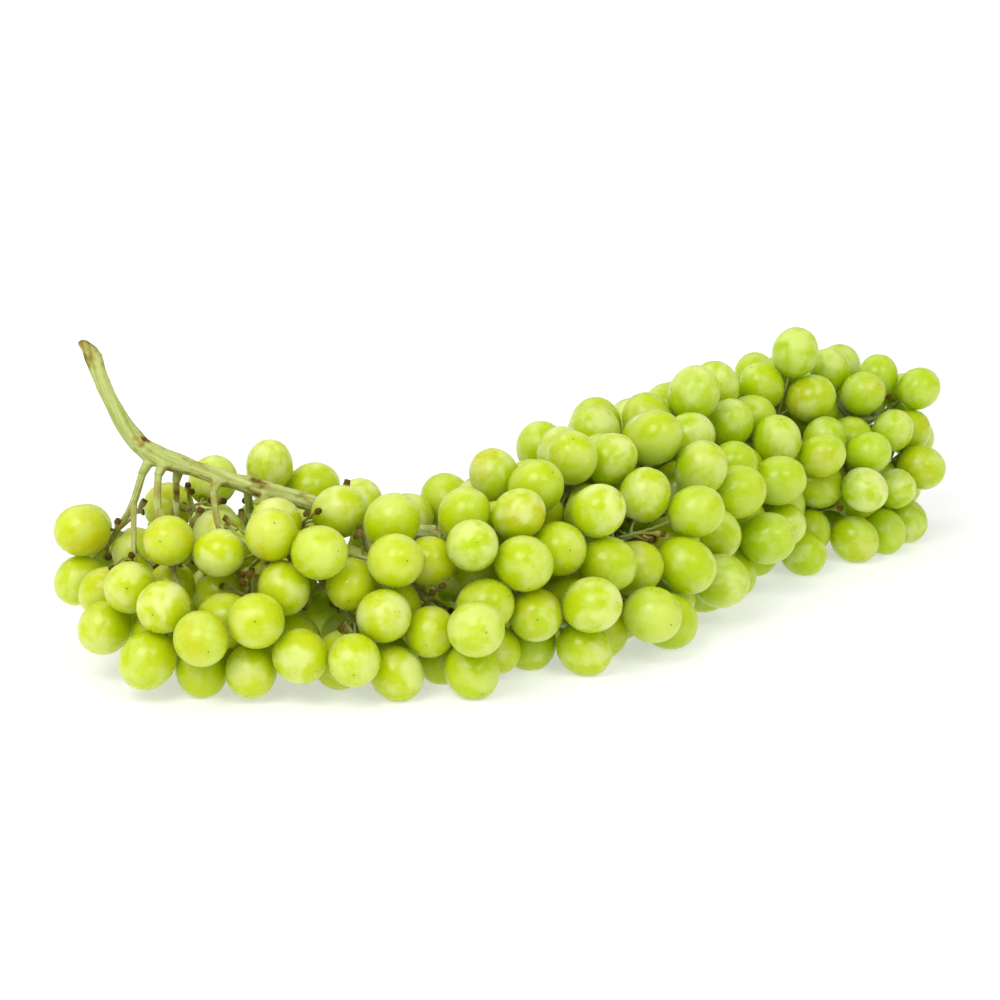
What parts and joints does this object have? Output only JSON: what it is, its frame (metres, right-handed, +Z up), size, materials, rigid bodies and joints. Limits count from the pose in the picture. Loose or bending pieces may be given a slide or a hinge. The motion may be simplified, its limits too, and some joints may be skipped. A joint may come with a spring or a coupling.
{
  "type": "bunch of grapes",
  "caption": "Bunch of green grapes lying on its side: a curved green stalk with a knee, and side branches crowded with round translucent berries.",
  "frame": {"origin": "on the surface the bunch lies on, under the middle of its bounding box", "axes": "+X along the bunch from the cut stalk to its far end, +Z up"},
  "size_m": [0.3574, 0.1653, 0.103],
  "materials": {
    "grape_skin": "thin translucent yellow-green skin with a faint waxy bloom, a soft gloss and a small brown scar at each berry's tip",
    "green_stalk": "matt yellow-green young wood with tan streaks, brown at the cut end, the knee and the nodes"
  },
  "bodies": {
    "root": {"rachis": "green_stalk", "spray_01": "grape_skin", "spray_02": "grape_skin", "spray_03": "grape_skin", "spray_04": "grape_skin", "spray_05": "grape_skin", "spray_06": "grape_skin", "spray_07": "grape_skin", "spray_08": "grape_skin", "spray_09": "grape_skin", "spray_10": "grape_skin", "spray_11": "grape_skin", "spray_12": "grape_skin", "spray_13": "grape_skin", "spray_14": "grape_skin", "spray_15": "grape_skin", "spray_16": "grape_skin", "spray_17": "grape_skin", "spray_18": "grape_skin", "spray_19": "grape_skin", "spray_20": "grape_skin", "spray_21": "grape_skin", "spray_22": "grape_skin", "spray_23": "grape_skin", "spray_24": "grape_skin", "spray_25": "grape_skin", "spray_26": "grape_skin", "spray_27": "grape_skin", "spray_28": "grape_skin", "spray_29": "grape_skin", "spray_30": "grape_skin", "spray_31": "grape_skin"}
  },
  "joints": []
}
